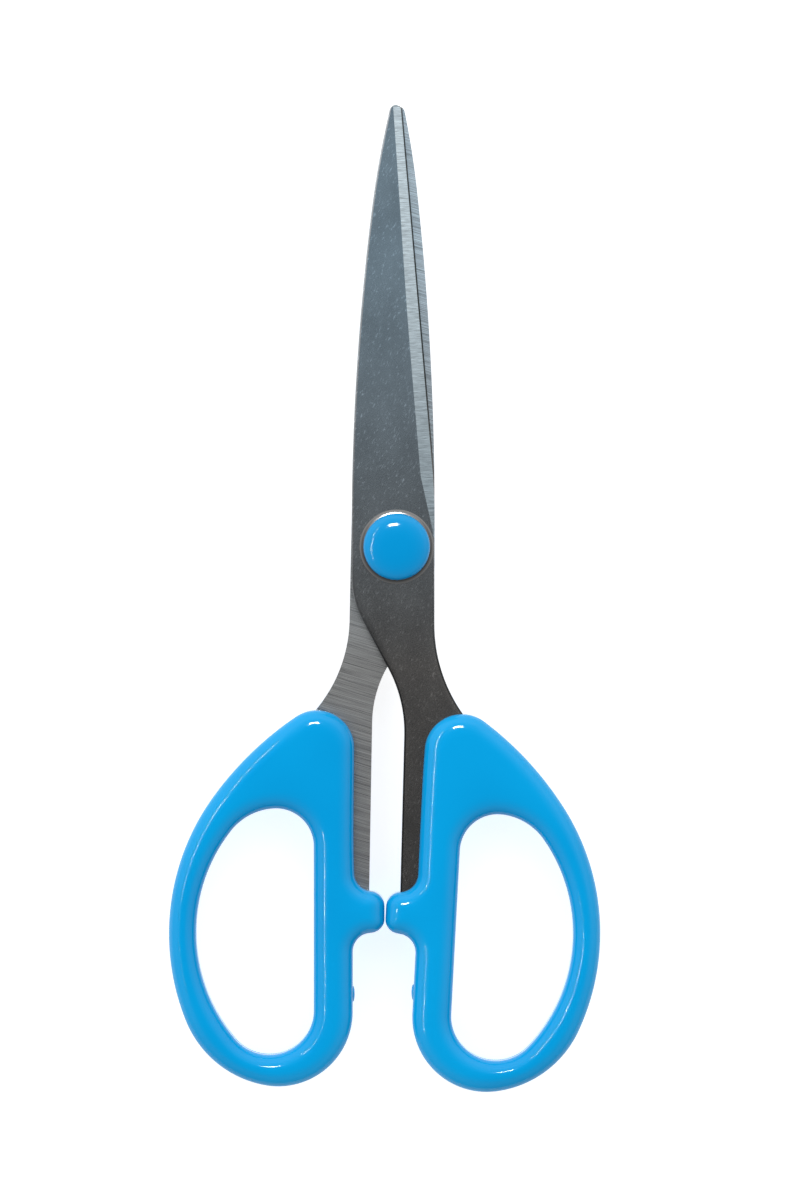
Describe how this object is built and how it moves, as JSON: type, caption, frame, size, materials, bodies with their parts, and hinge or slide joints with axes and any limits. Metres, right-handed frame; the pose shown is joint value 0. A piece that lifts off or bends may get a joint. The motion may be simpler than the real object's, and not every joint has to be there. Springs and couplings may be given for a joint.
{
  "type": "office scissors",
  "caption": "Straight office scissors with pointed bevelled steel blades, a capped rivet pivot and moulded bows with rounded finger holes and closing stops.",
  "frame": {"origin": "under the middle of the closed scissors, on the plane they lie on", "axes": "+Y from the bows to the blade tips, +X to the right as seen from the front, +Z out of the front; the pivot axis is parallel to +Z"},
  "size_m": [0.0776, 0.1776, 0.0092],
  "materials": {
    "blade_steel": "satin ground stainless steel, cross-ground along the bevel",
    "handle_plastic": "glossy blue moulded plastic",
    "pivot_steel": "plain turned steel",
    "washer_steel": "bright nickel plate",
    "cap_plastic": "glossy blue moulded plastic"
  },
  "bodies": {
    "back_half": {"back_blade": "blade_steel", "back_handle": "handle_plastic", "pivot_barrel": "pivot_steel", "pivot_pin": "pivot_steel", "front_washer": "washer_steel", "back_washer": "washer_steel", "front_cap": "cap_plastic", "back_cap": "cap_plastic"},
    "front_half": {"front_blade": "blade_steel", "front_handle": "handle_plastic"}
  },
  "joints": [
    {"name": "blade_pivot", "type": "hinge", "parent": "back_half", "child": "front_half", "pos_m": [0.00218, 0.00927, 0.0046], "axis": [0, 0, 1], "range_deg": [0, 130]}
  ]
}
